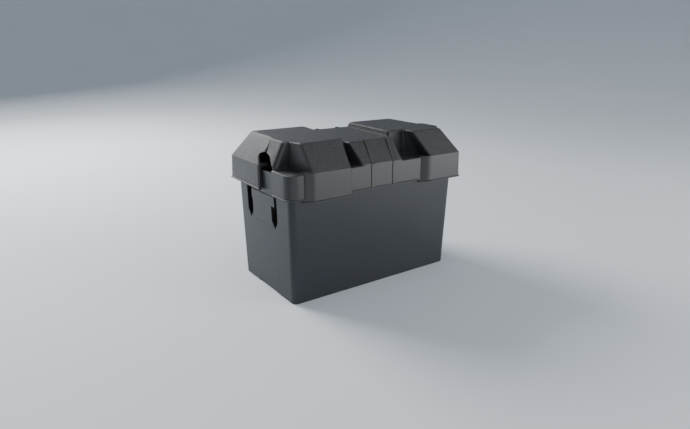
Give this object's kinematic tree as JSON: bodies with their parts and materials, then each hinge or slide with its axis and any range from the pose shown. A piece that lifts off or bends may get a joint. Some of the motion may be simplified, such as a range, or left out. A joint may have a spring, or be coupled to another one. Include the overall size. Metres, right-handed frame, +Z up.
{
  "type": "battery box",
  "caption": "Black plastic snap-top battery box: a tapered tub with spring latches and a stepped lid, holding a deep cycle battery with screw vent caps and wing nut terminals.",
  "frame": {"origin": "middle of the tub's base, at the height of the surface it stands on", "axes": "+Z up, X along the box's length, the front long side faces -Y"},
  "size_m": [0.3838, 0.226, 0.275],
  "materials": {
    "box_plastic": "satin moulded polypropylene",
    "lid_plastic": "leather-grained moulded polypropylene",
    "case_plastic": "moulded polypropylene",
    "cover_plastic": "moulded polypropylene",
    "cap_plastic": "moulded plastic",
    "seal_rubber": "soft rubber",
    "post_lead": "dull cast lead",
    "strap_lead": "dull cast lead",
    "stud_steel": "stainless steel",
    "nut_steel": "stainless steel",
    "positive_plate_lead": "lead dioxide paste on a lead grid",
    "negative_plate_lead": "sponge lead paste on a lead grid",
    "separator_plastic": "porous plastic sheet"
  },
  "bodies": {
    "tub_body": {"tub": "box_plastic"},
    "latch_left_body": {"snap_latch_left": "box_plastic"},
    "latch_right_body": {"snap_latch_right": "box_plastic"},
    "battery_body": {"battery_case": "case_plastic", "battery_cover": "cover_plastic", "vent_seals": "seal_rubber", "positive_post": "post_lead", "negative_post": "post_lead", "positive_stud": "stud_steel", "negative_stud": "stud_steel", "positive_washer": "stud_steel", "negative_washer": "stud_steel", "positive_plates": "positive_plate_lead", "negative_plates": "negative_plate_lead", "separators": "separator_plastic", "positive_straps": "strap_lead", "negative_straps": "strap_lead", "intercell_connectors": "strap_lead"},
    "lid_body": {"lid": "lid_plastic"},
    "positive_nut_body": {"positive_wing_nut": "nut_steel"},
    "negative_nut_body": {"negative_wing_nut": "nut_steel"},
    "vent_cap_1_body": {"vent_cap_1": "cap_plastic"},
    "vent_cap_2_body": {"vent_cap_2": "cap_plastic"},
    "vent_cap_3_body": {"vent_cap_3": "cap_plastic"},
    "vent_cap_4_body": {"vent_cap_4": "cap_plastic"},
    "vent_cap_5_body": {"vent_cap_5": "cap_plastic"},
    "vent_cap_6_body": {"vent_cap_6": "cap_plastic"}
  },
  "joints": [
    {"name": "battery_lift", "type": "slide", "parent": "tub_body", "child": "battery_body", "axis": [0, 0, 1], "range_m": [0, 0.25]},
    {"name": "lid_lift", "type": "slide", "parent": "battery_body", "child": "lid_body", "axis": [0, 0, 1], "range_m": [0, 0.12]},
    {"name": "left_latch_flex", "type": "hinge", "parent": "tub_body", "child": "latch_left_body", "pos_m": [-0.179, 0, 0.124], "axis": [0, 1, 0], "range_deg": [0, 4], "stiffness_Nm_per_rad": 4},
    {"name": "right_latch_flex", "type": "hinge", "parent": "tub_body", "child": "latch_right_body", "pos_m": [0.179, 0, 0.124], "axis": [0, -1, 0], "range_deg": [0, 4], "stiffness_Nm_per_rad": 4},
    {"name": "positive_nut_spin", "type": "hinge", "parent": "battery_body", "child": "positive_nut_body", "pos_m": [-0.12417, 0.04, 0.222], "axis": [0, 0, 1], "continuous": true},
    {"name": "negative_nut_spin", "type": "hinge", "parent": "battery_body", "child": "negative_nut_body", "pos_m": [0.12417, 0.04, 0.222], "axis": [0, 0, 1], "continuous": true},
    {"name": "vent_cap_1_turn", "type": "hinge", "parent": "battery_body", "child": "vent_cap_1_body", "pos_m": [-0.12417, 0, 0.206], "axis": [0, 0, 1], "range_deg": [0, 90]},
    {"name": "vent_cap_2_turn", "type": "hinge", "parent": "battery_body", "child": "vent_cap_2_body", "pos_m": [-0.0745, 0, 0.206], "axis": [0, 0, 1], "range_deg": [0, 90]},
    {"name": "vent_cap_3_turn", "type": "hinge", "parent": "battery_body", "child": "vent_cap_3_body", "pos_m": [-0.02483, 0, 0.206], "axis": [0, 0, 1], "range_deg": [0, 90]},
    {"name": "vent_cap_4_turn", "type": "hinge", "parent": "battery_body", "child": "vent_cap_4_body", "pos_m": [0.02483, 0, 0.206], "axis": [0, 0, 1], "range_deg": [0, 90]},
    {"name": "vent_cap_5_turn", "type": "hinge", "parent": "battery_body", "child": "vent_cap_5_body", "pos_m": [0.0745, 0, 0.206], "axis": [0, 0, 1], "range_deg": [0, 90]},
    {"name": "vent_cap_6_turn", "type": "hinge", "parent": "battery_body", "child": "vent_cap_6_body", "pos_m": [0.12417, 0, 0.206], "axis": [0, 0, 1], "range_deg": [0, 90]}
  ]
}
